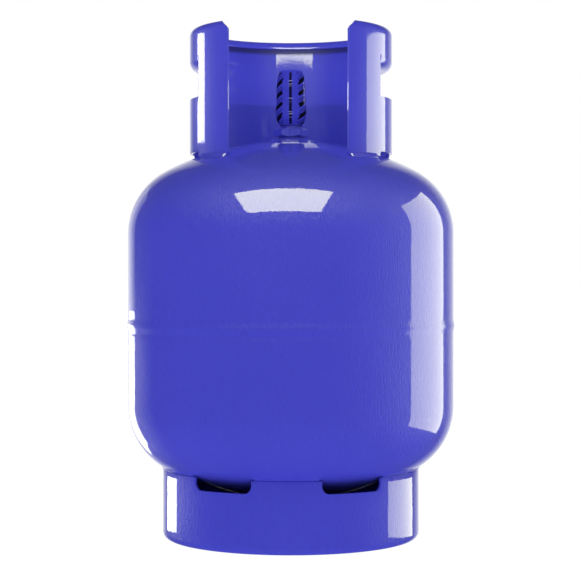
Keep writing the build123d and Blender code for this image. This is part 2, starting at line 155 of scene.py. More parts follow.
def bump_chain(nodes, links, layers, *targets):
    """Stack bumps on the target sockets: layers is [(height socket, strength, distance in metres)]."""
    last = None
    for height, strength, distance in layers:
        node = nodes.new("ShaderNodeBump")
        node.inputs["Strength"].default_value = strength
        node.inputs["Distance"].default_value = distance
        links.new(height, node.inputs["Height"])
        if last is not None:
            links.new(last, node.inputs["Normal"])
        last = node.outputs["Normal"]
    for target in targets:
        links.new(last, target)


BLUE = (0.0430, 0.0460, 0.505)
BLUE_DEEP = (0.0395, 0.0430, 0.488)
RIM_SHADE = (0.4785, 0.4815)       # metres: the wall darkens upwards between these, below its rolled rim
RIM_INSIDE = 0.0915                # metres: only outside this radius, so the roll itself stays clear


def rim_shade(nodes, links, at, colour):
    """Darken the inner wall in the hollow of the rolled rim, where no light reaches."""
    split = nodes.new("ShaderNodeSeparateXYZ")
    links.new(at, split.inputs[0])
    flat = nodes.new("ShaderNodeVectorMath")
    flat.operation = "MULTIPLY"
    flat.inputs[1].default_value = (1.0, 1.0, 0.0)
    links.new(at, flat.inputs[0])
    reach = nodes.new("ShaderNodeVectorMath")
    reach.operation = "LENGTH"
    links.new(flat.outputs["Vector"], reach.inputs[0])
    facing = nodes.new("ShaderNodeVectorMath")
    facing.operation = "DOT_PRODUCT"
    links.new(flat.outputs["Vector"], facing.inputs[0])
    links.new(nodes.new("ShaderNodeNewGeometry").outputs["True Normal"], facing.inputs[1])
    share = remap(nodes, links, split.outputs["Z"], *RIM_SHADE, 0.0, 0.92)
    for source, low, high in ((reach.outputs["Value"], RIM_INSIDE, RIM_INSIDE + 0.0005),
                              (facing.outputs["Value"], 0.0, -0.02)):
        both = nodes.new("ShaderNodeMath")
        both.operation = "MULTIPLY"
        links.new(share, both.inputs[0])
        links.new(remap(nodes, links, source, low, high, 0.0, 1.0), both.inputs[1])
        share = both.outputs[0]
    mix = nodes.new("ShaderNodeMix")
    mix.data_type = "RGBA"
    links.new(share, mix.inputs["Factor"])
    links.new(colour, mix.inputs["A"])
    mix.inputs["B"].default_value = (0.012, 0.014, 0.12, 1)
    return mix.outputs["Result"], share


def paint(name, peel=1.0, ripple=0.0, drawn_grain=1.0, rim=False):
    """Gloss blue coating: pigment with a fine drawn grain under a smoother clear skin."""
    mat, nodes, links, bsdf = material(name)
    at = coords(nodes)
    cloud = noise_tex(nodes, links, at, 14.0, 3.0)
    colour = ramp(nodes, links, cloud, [(0.3, BLUE_DEEP), (0.7, BLUE)])
    bsdf.inputs["Coat Weight"].default_value = 1.0
    if rim:
        colour, shaded = rim_shade(nodes, links, at, colour)
        links.new(remap(nodes, links, shaded, 0.0, 0.9, 1.0, 0.0), bsdf.inputs["Coat Weight"])
    links.new(colour, bsdf.inputs["Base Color"])
    speck = noise_tex(nodes, links, at, 900.0, 1.0)
    rough = remap(nodes, links, speck, 0.3, 0.7, 0.40, 0.50)
    links.new(rough, bsdf.inputs["Roughness"])
    bsdf.inputs["IOR"].default_value = 1.45
    bsdf.inputs["Specular IOR Level"].default_value = 0.22
    bsdf.inputs["Coat Roughness"].default_value = 0.03
    bsdf.inputs["Coat IOR"].default_value = 1.5
    peel_noise = noise_tex(nodes, links, at, 420.0, 2.0)
    sag_noise = noise_tex(nodes, links, at, 130.0, 2.0, stretch=(1.0, 1.0, 0.35))
    grain = noise_tex(nodes, links, at, 800.0, 2.0, 0.6, stretch=(1.0, 1.0, 0.22))
    skin = [(peel_noise, 0.035 * peel, 0.0006), (sag_noise, 0.02 * peel, 0.0008)]
    under = [(grain, drawn_grain, 0.0012), (sag_noise, 0.06 * peel, 0.0008)]
    if ripple:
        bead_noise = noise_tex(nodes, links, at, 700.0, 3.0, 0.6)
        skin.append((bead_noise, ripple, 0.0006))
        under.append((bead_noise, ripple, 0.0006))
    bump_chain(nodes, links, under, bsdf.inputs["Normal"])
    bump_chain(nodes, links, skin, bsdf.inputs["Coat Normal"])
    return mat


def metal(name, colour, rough, scratch=(1.0, 1.0, 12.0), scale=600.0):
    mat, nodes, links, bsdf = material(name)
    at = coords(nodes)
    line = noise_tex(nodes, links, at, scale, 3.0, 0.6, stretch=scratch)
    dark = tuple(c * 0.8 for c in colour)
    links.new(ramp(nodes, links, line, [(0.3, dark), (0.7, colour)]), bsdf.inputs["Base Color"])
    links.new(remap(nodes, links, line, 0.3, 0.7, rough * 0.8, rough * 1.25),
              bsdf.inputs["Roughness"])
    bsdf.inputs["Metallic"].default_value = 1.0
    bump_chain(nodes, links, [(line, 0.12, 0.0002)], bsdf.inputs["Normal"])
    return mat


def rubber(name):
    mat, nodes, links, bsdf = material(name)
    at = coords(nodes)
    grain = noise_tex(nodes, links, at, 1500.0, 3.0, 0.6)
    links.new(ramp(nodes, links, grain, [(0.3, (0.012, 0.012, 0.013)), (0.7, (0.028, 0.028, 0.03))]),
              bsdf.inputs["Base Color"])
    links.new(remap(nodes, links, grain, 0.3, 0.7, 0.55, 0.75), bsdf.inputs["Roughness"])
    bump_chain(nodes, links, [(grain, 0.2, 0.0002)], bsdf.inputs["Normal"])
    return mat


def moulded(name, colour):
    mat, nodes, links, bsdf = material(name)
    at = coords(nodes)
    cloud = noise_tex(nodes, links, at, 120.0, 2.0)
    dark = tuple(c * 0.85 for c in colour)
    links.new(ramp(nodes, links, cloud, [(0.3, dark), (0.7, colour)]), bsdf.inputs["Base Color"])
    grain = noise_tex(nodes, links, at, 2500.0, 2.0)
    links.new(remap(nodes, links, grain, 0.3, 0.7, 0.38, 0.5), bsdf.inputs["Roughness"])
    bump_chain(nodes, links, [(grain, 0.15, 0.0001)], bsdf.inputs["Normal"])
    return mat


def film(name):
    """Shrink film: dull blue, dark print where the mask is red, glossy creases where it is green, whitened
    there as a painted highlight.
    """
    mat, nodes, links, bsdf = material(name)
    mask = nodes.new("ShaderNodeVertexColor")
    mask.layer_name = "print_and_crease_highlight"
    split = nodes.new("ShaderNodeSeparateColor")
    links.new(mask.outputs["Color"], split.inputs["Color"])
    at = coords(nodes)
    cloud = noise_tex(nodes, links, at, 300.0, 3.0)
    base = ramp(nodes, links, cloud, [(0.3, (0.045, 0.047, 0.47)), (0.7, (0.056, 0.058, 0.53))])
    colour = base
    # green whitens the creases' colour: a painted highlight where they catch the light
    for channel, tint in (("Red", (0.002, 0.002, 0.012, 1)), ("Green", (0.60, 0.60, 1.0, 1))):
        mix = nodes.new("ShaderNodeMix")
        mix.data_type = "RGBA"
        links.new(split.outputs[channel], mix.inputs["Factor"])
        links.new(colour, mix.inputs["A"])
        mix.inputs["B"].default_value = tint
        colour = mix.outputs["Result"]
    links.new(colour, bsdf.inputs["Base Color"])
    links.new(remap(nodes, links, split.outputs["Green"], 0.0, 1.0, 0.5, 0.16), bsdf.inputs["Roughness"])
    links.new(remap(nodes, links, split.outputs["Green"], 0.0, 1.0, 0.01, 0.25),
              bsdf.inputs["Specular IOR Level"])
    grain = noise_tex(nodes, links, at, 1400.0, 3.0, 0.6)
    bump_chain(nodes, links, [(grain, 0.2, 0.0002)], bsdf.inputs["Normal"])
    return mat


PAINT = paint("blue_paint")
PAINT_COLLAR = paint("blue_paint_collar", drawn_grain=0.15, rim=True)
PAINT_WELD = paint("blue_paint_over_weld", peel=1.3, ripple=0.12)
BRASS = metal("machined_brass", (0.72, 0.50, 0.20), 0.26)
STEEL = metal("spring_wire", (0.56, 0.56, 0.57), 0.28, scratch=(4.0, 4.0, 1.0))
RUBBER = rubber("nitrile")
CAP_PLASTIC = moulded("cap_polyethylene", (0.05, 0.06, 0.42))
FILM = film("shrink_film")


# ---------------------------------------------------------------- mesh tools
def spin(r, z, theta):
    """Point in metres at radius r and height z (mm), theta degrees from the front (-Y)."""
    a = math.radians(theta)
    return Vector((r * math.sin(a) * MM, -r * math.cos(a) * MM, z * MM))


def make_object(name, verts, faces, mat, body, replaced=()):
    mesh = bpy.data.meshes.new(name)
    mesh.from_pydata(verts, [], faces)
    mesh.validate()
    obj = bpy.data.objects.new(name, mesh)
    bpy.context.scene.collection.objects.link(obj)
    obj.data.materials.append(mat)
    for poly in mesh.polygons:
        poly.use_smooth = True
    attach(obj, body)
    if replaced:
        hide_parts(*replaced)
    return obj


def apply_modifiers(obj):
    """Bake the modifiers into the mesh, so the object keeps none."""
    deps = bpy.context.evaluated_depsgraph_get()
    baked = bpy.data.meshes.new_from_object(obj.evaluated_get(deps))
    obj.modifiers.clear()
    obj.data = baked
    return obj


def outward(obj):
    bm = bmesh.new()
    bm.from_mesh(obj.data)
    bmesh.ops.recalc_face_normals(bm, faces=bm.faces)
    bm.to_mesh(obj.data)
    bm.free()


def crease(obj, angle=35.0):
    """Smooth shading that breaks at edges sharper than angle."""
    bm = bmesh.new()
    bm.from_mesh(obj.data)
    for edge in bm.edges:
        if len(edge.link_faces) == 2:
            edge.smooth = edge.calc_face_angle(0.0) < math.radians(angle)
    bm.to_mesh(obj.data)
    bm.free()


def bevel(obj, width, segments=2, angle=40.0):
    mod = obj.modifiers.new("round", "BEVEL")
    mod.width, mod.segments = width * MM, segments
    mod.limit_method, mod.angle_limit = "ANGLE", math.radians(angle)
    mod.use_clamp_overlap = True
    return obj


def lathe(name, outline, segments, mat, body, replaced=(), push=None):
    """Turn a (radius, height) outline, in mm, about Z. push(theta, i, z) moves a point outwards."""
    verts, faces, n = [], [], len(outline)
    for k in range(segments):
        theta = 360.0 * k / segments
        for i, (r, z) in enumerate(outline):
            verts.append(spin(r + (push(theta, i, z) if push else 0.0), z, theta))
    for k in range(segments):
        a, b = k * n, ((k + 1) % segments) * n
        for i in range(n):
            j = (i + 1) % n
            faces.append((a + i, b + i, b + j, a + j))
    obj = make_object(name, verts, faces, mat, body, replaced)
    bm = bmesh.new()
    bm.from_mesh(obj.data)
    bmesh.ops.remove_doubles(bm, verts=bm.verts, dist=1e-7)
    bmesh.ops.recalc_face_normals(bm, faces=bm.faces)
    bm.to_mesh(obj.data)
    bm.free()
    return obj


def arc(centre, radius, start, end, steps):
    """Points of an arc in the (radius, height) plane, angles in degrees."""
    pts = []
    for i in range(steps + 1):
        a = math.radians(start + (end - start) * i / steps)
        pts.append((centre[0] + radius * math.cos(a), centre[1] + radius * math.sin(a)))
    return pts


# ------------------------------------------------------------- vessel shells
def head_outline(offset, tangent, up, r_in, steps=20):
    """Knuckle and crown arcs of a head's surface, from the tangent in to r_in."""
    kc = SHELL_R - KNUCKLE
    drop = math.sqrt((CROWN - KNUCKLE) ** 2 - kc ** 2)
    turn = math.degrees(math.atan2(drop, kc))
    knuckle = arc((kc, tangent), KNUCKLE - offset, 0, up * turn, steps)
    centre = (0.0, tangent - up * drop)
    last = math.degrees(math.acos(r_in / (CROWN - offset)))
    crown = arc(centre, CROWN - offset, up * turn, up * last, steps + 6)
    return knuckle + crown[1:]


def head_height(r, up=1):
    """Height of the outer surface of a head at radius r."""
    kc = SHELL_R - KNUCKLE
    drop = math.sqrt((CROWN - KNUCKLE) ** 2 - kc ** 2)
    tangent = TOP_TANGENT if up > 0 else LOW_TANGENT
    if r > kc * CROWN / (CROWN - KNUCKLE):
        return tangent + up * math.sqrt(KNUCKLE ** 2 - (r - kc) ** 2)
    return tangent + up * (math.sqrt(CROWN ** 2 - r * r) - drop)


def drawn(seed, amount):
    """Slight unevenness of drawn and rolled sheet, in mm, over a few centimetres."""
    def push(theta, i, z):
        a = math.radians(theta)
        p = Vector((2.6 * math.cos(a), 2.6 * math.sin(a), z / 60.0)) + Vector((seed, 0, 0))
        return amount * noise.noise(p)
    return push


def ladder(z0, z1, steps):
    return [(z0 + (z1 - z0) * i / steps) for i in range(steps + 1)]


def shells():
    top = [(SHELL_R, z) for z in ladder(UPPER_EDGE, TOP_TANGENT, 10)[:-1]]
    top += head_outline(0, TOP_TANGENT, 1, BOSS_R + 0.05)
    inner = head_outline(SHELL_WALL, TOP_TANGENT, 1, BOSS_R + 0.05)
    top += list(reversed(inner)) + [(SHELL_R - SHELL_WALL, UPPER_EDGE)]
    upper = lathe("upper_head", top, 220, PAINT, "vessel", ["upper_shell"],
                  push=drawn(3.1, 0.10))
    crease(upper)
    low = [(SHELL_R, z) for z in ladder(LOWER_EDGE, LOW_TANGENT, 8)[:-1]]
    low += head_outline(0, LOW_TANGENT, -1, 0.0)
    inner = head_outline(SHELL_WALL, LOW_TANGENT, -1, 0.0)
    low += list(reversed(inner))
    low += [(SHELL_R - SHELL_WALL, LOWER_EDGE - 2.5), (LIP_IN, LIP_FOOT), (LIP_IN, LIP_TOP),
            (LIP_OUT, LIP_TOP), (LIP_OUT, LIP_START)]
    lower = lathe("lower_head", low, 220, PAINT, "vessel", ["lower_shell"],
                  push=drawn(8.7, 0.10))
    crease(lower)


def seam():
    """Girth weld: a machine-laid bead with a fine, shallow ripple under the paint."""
    low, high, crown = LOWER_EDGE - 3.2, UPPER_EDGE + 5.2, 0.9
    steps = 24
    points = [(LIP_OUT, LIP_START), (SHELL_R - 0.2, LOWER_EDGE + 0.2), (SHELL_R - 0.15, low)]
    crest = []
    for k in range(steps + 1):
        t = k / steps
        crest.append((SHELL_R + 0.02 + crown * math.sin(math.pi * t) ** 2, low + (high - low) * t))
    points += crest
    points += [(SHELL_R - 0.15, high), (154.9, UPPER_EDGE - 0.05)]
    first, last = 3, 3 + len(crest)

    def push(theta, i, z):
        if not first <= i < last:
            return 0.0
        a = math.radians(theta)
        fade = math.sin(math.pi * (i - first) / (last - 1 - first))
        wave = 0.012 * math.sin(a * 170 + 1.2 * math.sin(a * 9))
        wander = 0.06 * noise.noise(Vector((6 * math.cos(a), 6 * math.sin(a), z / 8.0)))
        return fade * (wave + wander)
    obj = lathe("girth_bead", points, 720, PAINT_WELD, "vessel", ["girth_weld"], push=push)
    crease(obj, 50)


# --------------------------------------------------------------- sheet parts
def sheet_path(stretches):
    """Join (radius, height) points of a sheet's outer face, dropping repeats."""
    path = []
    for pts in stretches:
        for p in pts:
            if not path or (abs(p[0] - path[-1][0]) + abs(p[1] - path[-1][1])) > 1e-6:
                path.append(p)
    return path


def round_corner(u, v, corner, into, radius):
    """Slide a point on the edge of a square-cornered hole onto the corner's radius."""
    (u0, v0), (su, sv) = corner, into
    du, dv = (u - u0) * su, (v - v0) * sv
    on_u, on_v = abs(dv) < 1e-6 and -1e-6 <= du <= radius, abs(du) < 1e-6 and -1e-6 <= dv <= radius
    if not (on_u or on_v):
        return u, v
    a = math.radians(45.0 * (1 - du / radius)) if on_u else math.radians(90 - 45.0 * (1 - dv / radius))
    return (u0 + su * radius * (1 - math.sin(a)), v0 + sv * radius * (1 - math.cos(a)))


def subdivide(marks, step):
    """All the marks, with even stretches no longer than step between them."""
    marks = sorted(set(round(m, 6) for m in marks))
    out = []
    for a, b in zip(marks, marks[1:]):
        n = max(1, math.ceil((b - a) / step - 1e-9))
        out += [a + (b - a) * i / n for i in range(n)]
    return out + [marks[-1]]


def corner_marks(at, side, radius, steps=4):
    """Grid lines that a rounded corner needs, running into the hole from at."""
    return [at + side * radius * i / steps for i in range(steps + 1)]


def sheet(path, thetas, keep, place, wrap, push):
    """Points and faces of a sheet part's outer face, on a grid of path by angle.

    place moves a grid point onto the cut edges, and keep says which cells hold metal."""
    rows, cols = len(path), len(thetas)
    verts = []
    for i, (r, z) in enumerate(path):
        for j, theta in enumerate(thetas):
            t, zz = place(r, z, theta)
            verts.append(spin(r + push(t, i, zz), zz, t))
    faces = []
    for i in range(rows - 1):
        for j in range(cols if wrap else cols - 1):
            k = (j + 1) % cols
            if keep(i, j):
                faces.append((i * cols + j, i * cols + k, (i + 1) * cols + k, (i + 1) * cols + j))
    return verts, faces


def finish_sheet(name, verts, faces, thickness, replaced, mat=PAINT, edge=0.7):
    """Thicken the face inwards and round its cut edges."""
    obj = make_object(name, verts, faces, mat, "vessel", replaced)
    bm = bmesh.new()
    bm.from_mesh(obj.data)
    bmesh.ops.remove_doubles(bm, verts=bm.verts, dist=2e-6)
    loose = [v for v in bm.verts if not v.link_faces]
    bmesh.ops.delete(bm, geom=loose, context="VERTS")
    bm.to_mesh(obj.data)
    bm.free()
    solid = obj.modifiers.new("thick", "SOLIDIFY")
    solid.thickness, solid.offset = thickness * MM, -1.0
    solid.use_even_offset = True
    bevel(obj, edge, 3, 50)
    apply_modifiers(obj)
    crease(obj, 60)
    return obj


def foot():
    out_c, in_c = (FOOT_R - FOOT_CURL, FOOT_CURL), (FOOT_R - FOOT_CURL - FOOT_FLAT, FOOT_CURL)
    wall_marks = [FOOT_CURL, SLOT_LOW, FOOT_TOP] + corner_marks(SLOT_LOW, 1, SLOT_CORNER)
    wall = [(FOOT_R, z) for z in subdivide(wall_marks, 6.0)]
    path = sheet_path([arc(in_c, FOOT_CURL, 180, 270, 10), arc(out_c, FOOT_CURL, 270, 360, 12), wall])
    centres = [SLOT_ANGLE, 180 - SLOT_ANGLE, 180 + SLOT_ANGLE, 360 - SLOT_ANGLE]
    deg = math.degrees(SLOT_CORNER / FOOT_R)
    marks = [0.0, 360.0]
    for c in centres:
        for side in (-1, 1):
            marks += corner_marks(c + side * SLOT_SPAN / 2, -side, deg)
    thetas = subdivide(marks, 2.0)[:-1]

    def place(r, z, theta):
        u = theta * math.radians(1) * FOOT_R
        for c in centres:
            for side in (-1, 1):
                corner = (math.radians(c + side * SLOT_SPAN / 2) * FOOT_R, SLOT_LOW)
                u, z2 = round_corner(u, z, corner, (-side, 1), SLOT_CORNER)
                if r == FOOT_R and (z2 != z):
                    return math.degrees(u / FOOT_R), z2
        return math.degrees(u / FOOT_R), z

    def keep(i, j):
        z = (path[i][1] + path[i + 1][1]) / 2
        nxt = thetas[(j + 1) % len(thetas)] + (360 if j + 1 == len(thetas) else 0)
        mid = (thetas[j] + nxt) / 2
        in_slot = any(abs(mid - c) < SLOT_SPAN / 2 for c in centres)
        return not (in_slot and z > SLOT_LOW and path[i][0] == FOOT_R)
    verts, faces = sheet(path, thetas, keep, place, True, drawn(1.3, 0.16))
    return finish_sheet("foot_hoop", verts, faces, FOOT_T, ["foot_ring"])


def collar():
    curl_c = (COLLAR_R - COLLAR_CURL, COLLAR_TOP - COLLAR_CURL)
    wall_marks = [COLLAR_LOW, DRAIN_TOP, HAND_LOW, GRIP_Z, SLIT_TOP, CORNER_Z, curl_c[1]]
    wall_marks += corner_marks(HAND_LOW, 1, HOLE_CORNER) + corner_marks(DRAIN_TOP, -1, HOLE_CORNER)
    wall = [(COLLAR_R, z) for z in subdivide(wall_marks, 5.0)]
    path = sheet_path([wall, arc(curl_c, COLLAR_CURL, 0, 180, 20)])
    deg = math.degrees(HOLE_CORNER / COLLAR_R)
    marks = [GAP_HALF, 360 - GAP_HALF]
    holes = []
    for mid in (90, 270):
        near, far = mid - HAND_HALF, mid + HAND_HALF
        holes.append((near, far))
        marks += corner_marks(near, 1, deg) + corner_marks(far, -1, deg)
        marks += [near + SLIT_HALF, far - SLIT_HALF]
    drains = [(DRAIN_FROM, DRAIN_TO), (360 - DRAIN_TO, 360 - DRAIN_FROM)]
    for near, far in drains:
        marks += corner_marks(near, 1, deg) + corner_marks(far, -1, deg)
    thetas = subdivide(marks, 2.0)
    span = 14.0      # the bevelled ends draw only this many degrees of the grid with them

    def gap_end(r, z):
        side = COLLAR_R * math.sin(math.radians(GAP_HALF)) + CORNER_LEAN * (z - CORNER_Z)
        if z <= CORNER_Z:
            return GAP_HALF
        return max(GAP_HALF, math.degrees(math.asin(min(1.0, side / r))))

    def place(r, z, theta):
        u = math.radians(theta) * COLLAR_R
        if r == COLLAR_R:
            for openings, edge, up in ((holes, HAND_LOW, 1), (drains, DRAIN_TOP, -1)):
                for near, far in openings:
                    for at, side in ((near, 1), (far, -1)):
                        corner = (math.radians(at) * COLLAR_R, edge)
                        moved = round_corner(u, z, corner, (side, up), HOLE_CORNER)
                        if moved != (u, z):
                            return math.degrees(moved[0] / COLLAR_R), moved[1]
        extra = gap_end(r, z) - GAP_HALF
        if extra > 0:
            reach = span + extra
            if theta < GAP_HALF + reach:
                share = (theta - GAP_HALF) / reach
                theta = GAP_HALF + extra + (reach - extra) * share
            elif theta > 360 - GAP_HALF - reach:
                share = (360 - GAP_HALF - theta) / reach
                theta = 360 - (GAP_HALF + extra + (reach - extra) * share)
        return theta, z

    def keep(i, j):
        z = (path[i][1] + path[i + 1][1]) / 2
        mid = (thetas[j] + thetas[j + 1]) / 2
        if path[i][0] != COLLAR_R or path[i + 1][1] > curl_c[1] + 1e-6:
            return True
        for near, far in holes:
            if near < mid < far and HAND_LOW < z < GRIP_Z:
                return False
            if GRIP_Z < z < SLIT_TOP and (near < mid < near + SLIT_HALF or far - SLIT_HALF < mid < far):
                return False
        return not any(near < mid < far and z < DRAIN_TOP for near, far in drains)
    push = drawn(5.9, 0.05)
    verts, faces = sheet(path, thetas, keep, place, False, push)
    # rolled grips, meeting the wall along the top of each hole
    grip_path = arc((COLLAR_R - GRIP_R, GRIP_Z), GRIP_R, -GRIP_SWEEP, 0, 16)
    for near, far in holes:
        part = [t for t in thetas if near + SLIT_HALF - 1e-6 <= t <= far - SLIT_HALF + 1e-6]
        base = len(verts)
        for i, (r, z) in enumerate(grip_path):
            for t in part:
                verts.append(spin(r + push(t, i, GRIP_Z), z, t))
        for i in range(len(grip_path) - 1):
            for j in range(len(part) - 1):
                a = base + i * len(part) + j
                faces.append((a, a + 1, a + len(part) + 1, a + len(part)))
    return finish_sheet("collar_sheet", verts, faces, COLLAR_T, ["collar"], PAINT_COLLAR)


# --------------------------------------------------------------------- welds
def bead(name, spans, section, pitch, rough, seed, replaced, step=0.6, radius=100.0, closed=False):
    """Hand-laid fillet beads: a section swept round the axis with overlapping ripples.

    section(swell, ends) gives the (radius, height) loop; ends shrinks it towards the bead's ends."""
    rng = random.Random(seed)
    verts, faces = [], []
    for start, stop in spans:
        length = math.radians(stop - start) * radius
        n = max(12, int(length / step))
        phase, ring = rng.random(), []
        for k in range(n if closed else n + 1):
            theta = start + (stop - start) * k / n
            run = length * k / n
            cyc = (run / pitch + phase + 0.18 * math.sin(run / 7.0 + seed)) % 1.0
            ripple = rough * (1 - (2 * cyc - 1) ** 2) - rough * 0.5
            wander = 0.5 * noise.noise(Vector((run / 9.0, seed, start)))
            ends = 1.0 if closed else min(1.0, math.sqrt(max(0.0, min(run, length - run)) / 3.0) + 0.12)
            loop = section(ripple + wander * 0.5, ends)
            ring.append(len(verts))
            verts += [spin(r, z, theta) for r, z in loop]
        m = len(loop)
        for a, b in zip(ring, ring[1:] + (ring[:1] if closed else [])):
            for i in range(m):
                j = (i + 1) % m
                faces.append((a + i, b + i, b + j, a + j))
        if not closed:
            faces.append(tuple(range(ring[0], ring[0] + m)))
            faces.append(tuple(reversed(range(ring[-1], ring[-1] + m))))
    obj = make_object(name, verts, faces, PAINT_WELD, "vessel", replaced)
    outward(obj)
    crease(obj, 70)
    return obj


def fillet_section(a, b, root, bulge, count=9):
    """Loop of a fillet between wall point a and surface point b, over the root point."""
    def section(swell, ends):
        pts = []
        for i in range(count):
            t = i / (count - 1)
            x = a[0] + (b[0] - a[0]) * t
            z = a[1] + (b[1] - a[1]) * t
            nx, nz = (a[1] - b[1]), (b[0] - a[0])
            size = math.hypot(nx, nz)
            h = (bulge + swell) * 4 * t * (1 - t)
            pts.append((x + nx / size * h, z + nz / size * h))
        pts += [(b[0] - (b[0] - root[0]) * 0.3, root[1]), root, (root[0], a[1])]
        mid = (root[0] * 0.6 + a[0] * 0.4, root[1] * 0.6 + a[1] * 0.4)
        return [(mid[0] + (x - mid[0]) * ends, mid[1] + (z - mid[1]) * ends) for x, z in pts]
    return section


STITCHES = [(36, 58), (108, 138), (165, 195), (222, 252), (302, 324)]      # degrees from the front


def welds():
    top = (COLLAR_R + 0.1, COLLAR_LOW + 2.2)
    low = (COLLAR_R + 2.9, head_height(COLLAR_R + 2.9) - 0.1)
    root = (COLLAR_R - 1.5, head_height(COLLAR_R) - 1.2)
    bead("collar_stitches", STITCHES, fillet_section(top, low, root, 0.25), 3.0, 0.22, 4,
         ["collar_welds"], radius=COLLAR_R)
    near = SLOT_ANGLE - SLOT_SPAN / 2 - 0.8
    far = SLOT_ANGLE + SLOT_SPAN / 2 + 0.8
    top = (FOOT_R + 2.6, head_height(FOOT_R + 2.6, up=-1) + 0.15)
    low = (FOOT_R - 0.5, FOOT_TOP + 0.05)
    root = (FOOT_R - 2.2, FOOT_TOP + 1.6)
    spans = [(-near, near), (far, 180 - far), (180 - near, 180 + near), (180 + far, 360 - far)]

    def upside(swell, ends):
        return fillet_section(low, top, root, -0.15)(-swell, ends)
    bead("foot_fillets", spans, upside, 3.4, 0.2, 9, ["foot_ring_welds"], radius=FOOT_R)
    boss_top = (BOSS_R + 0.1, 383.6)
    boss_low = (BOSS_R + 4.2, head_height(BOSS_R + 4.2) - 0.1)
    root = (BOSS_R - 1.0, head_height(BOSS_R) - 1.0)
    bead("boss_fillet", [(0, 360)], fillet_section(boss_top, boss_low, root, 0.25), 2.6, 0.22, 6,
         ["boss_weld"], step=0.5, radius=BOSS_R + 3, closed=True)


# --------------------------------------------------------- sleeve and springs
CAP_OUTLINE = [(10.45, 398.9), (13.5, 405.0), (14.45, 413.0), (13.65, 422.6), (13.65, 433.0),
               (12.65, 444.0), (11.2, 449.5), (10.2, 451.7), (8.4, 452.4)]


def smooth_outline(points, step=0.45):
    """Catmull-Rom through the points, sampled evenly."""
    pts = [points[0]] + list(points) + [points[-1]]
    out = []
    for p0, p1, p2, p3 in zip(pts, pts[1:], pts[2:], pts[3:]):
        n = max(2, int(math.hypot(p2[0] - p1[0], p2[1] - p1[1]) / step))
        for k in range(n):
            t = k / n
            out.append(tuple(0.5 * ((2 * b) + (c - a) * t + (2 * a - 5 * b + 4 * c - d) * t * t
                                    + (3 * b - a - 3 * c + d) * t ** 3)
                             for a, b, c, d in zip(p0, p1, p2, p3)))
    return out + [points[-1]]


BAND_PITCH, BAND_RISE = 11.1, 0.130      # mm between bars, and mm of rise per degree
BEAD_PITCH, BEAD_HALF = 2.6, 7.6          # the perforated tear line: mm, and degrees
PRINT_LOW, PRINT_HIGH = 400.0, 449.5
CREASES = [(406.4, 0.7), (409.0, 0.9), (411.0, 0.8), (421.0, 0.6), (424.4, 0.9), (435.9, 0.7),
           (438.4, 0.8), (440.9, 0.9)]
GLINT_LOW, GLINT_HIGH = 418.0, 441.0      # a broken crease down the right flank, whitened as a painted glint


def front_angle(theta):
    """Degrees from the front, positive to the right."""
    return (theta + 180) % 360 - 180


def ink_at(theta, z):
    """Dark print: slanted bars with two hairlines each, and the beaded tear line in front."""
    a = front_angle(theta)
    if not PRINT_LOW < z < PRINT_HIGH:
        return 0.0
    if abs(a) < 10:
        bead_shape = 0.70 + 0.30 * math.cos(2 * math.pi * z / BEAD_PITCH)
        return 1.0 if abs(a) < BEAD_HALF * bead_shape else 0.0
    if abs(a) < 34 + 3 * math.sin(z * 1.3):
        return 0.0
    phase = ((z - BAND_RISE * a) / BAND_PITCH) % 1.0
    if phase < 0.42:
        return 1.0
    return 0.8 if 0.53 < phase < 0.60 or 0.71 < phase < 0.78 else 0.0


def crease_and_glint_at(theta, z):
    """Depth of the shrink creases, which cross the tear line and run down one flank, 0 to 1; the deeper
    part also sets their painted highlight.
    """
    a = front_angle(theta)
    near_line = math.exp(-(a / 15.0) ** 2)
    wave = 0.0
    # the right flank's broken streak: a slight ridge that also carries a painted glint
    if 63 < a < 74 and GLINT_LOW < z < GLINT_HIGH:
        broken = noise.noise(Vector((a / 4.0, 0.0, z / 1.7)))
        return 0.85 if broken > 0.05 else 0.0
    for height, size in CREASES:
        off = z - height - 0.35 * math.sin(math.radians(4 * a) + height)
        wave = max(wave, size * math.exp(-(off / 0.36) ** 2))
    return wave * near_line


def sleeve():
    outside = smooth_outline([(10.62, 398.5), (10.85, 399.3)] + [(r + 0.34, z) for r, z in CAP_OUTLINE[1:]]
                             + [(6.6, 452.76)], step=0.3)
    inside = [(max(r - 0.3, 5.9), z - (0.3 if z > 452 else 0.0)) for r, z in reversed(outside)]
    first_inner = len(outside)

    def push(theta, i, z):
        if i >= first_inner:
            return 0.0
        a = math.radians(theta)
        flat = noise.noise(Vector((1.7 * math.cos(a), 1.7 * math.sin(a), z / 9.0)))
        fine = noise.noise(Vector((9 * math.cos(a), 9 * math.sin(a), z / 1.6)))
        return 0.10 * abs(flat) + 0.05 * abs(fine) + 0.16 * crease_and_glint_at(theta, z)
    obj = lathe("shrink_seal", outside + inside, 480, FILM, "cap", ["seal_sleeve"],
                push=push)
    mesh = obj.data
    mask = mesh.color_attributes.new("print_and_crease_highlight", "FLOAT_COLOR", "POINT")
    for vert, cell in zip(mesh.vertices, mask.data):
        theta = math.degrees(math.atan2(vert.co.x, -vert.co.y))
        z = vert.co.z / MM
        ink = 1.0 if z < 399.2 else ink_at(theta, z)
        # green: the painted highlight on the deeper creases
        cell.color = (ink, max(0.0, crease_and_glint_at(theta, z) - 0.4) * 1.6, 0.0, 1)
    return obj


